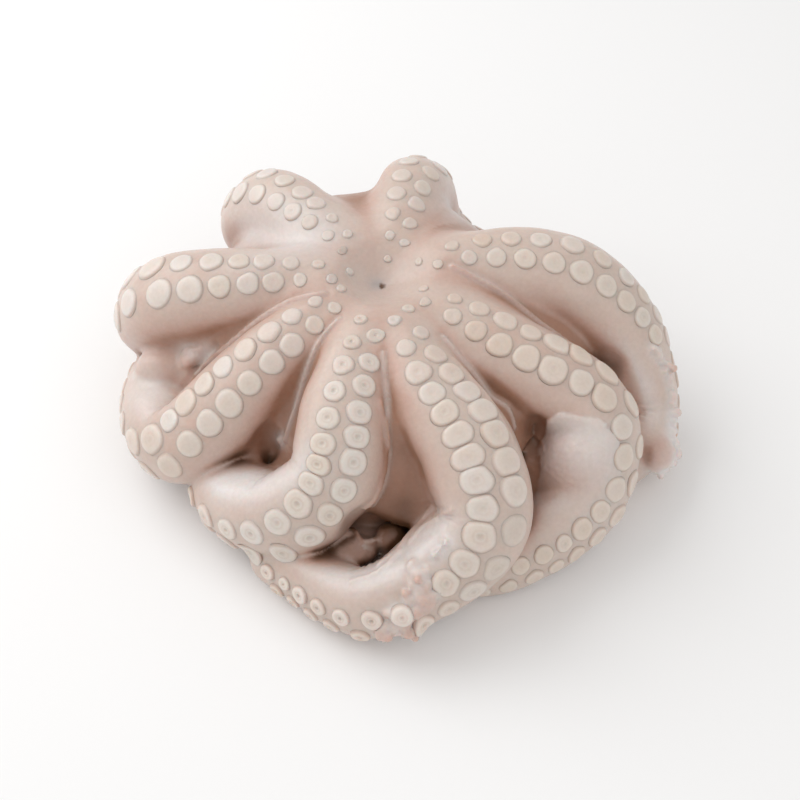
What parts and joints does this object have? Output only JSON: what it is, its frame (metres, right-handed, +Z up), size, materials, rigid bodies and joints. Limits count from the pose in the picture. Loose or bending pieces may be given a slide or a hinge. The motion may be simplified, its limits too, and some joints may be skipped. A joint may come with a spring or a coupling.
{
  "type": "whole raw octopus",
  "caption": "Whole raw octopus lying mouth up: suckered arms fan out from the mouth over a webbed body, droop at the rim and swirl clockwise round the base.",
  "frame": {"origin": "middle of the footprint on the plane that the animal lies on, under its body", "axes": "+Z up, out of the mouth; -Y towards the two arms that droop and cross in front; +X to the right as seen from there"},
  "size_m": [0.2954, 0.2733, 0.1057],
  "materials": {
    "flesh": "wet, soft and slightly translucent raw skin, pale pink to beige, with cream suckers"
  },
  "bodies": {
    "root": {"octopus": "flesh"}
  },
  "joints": []
}
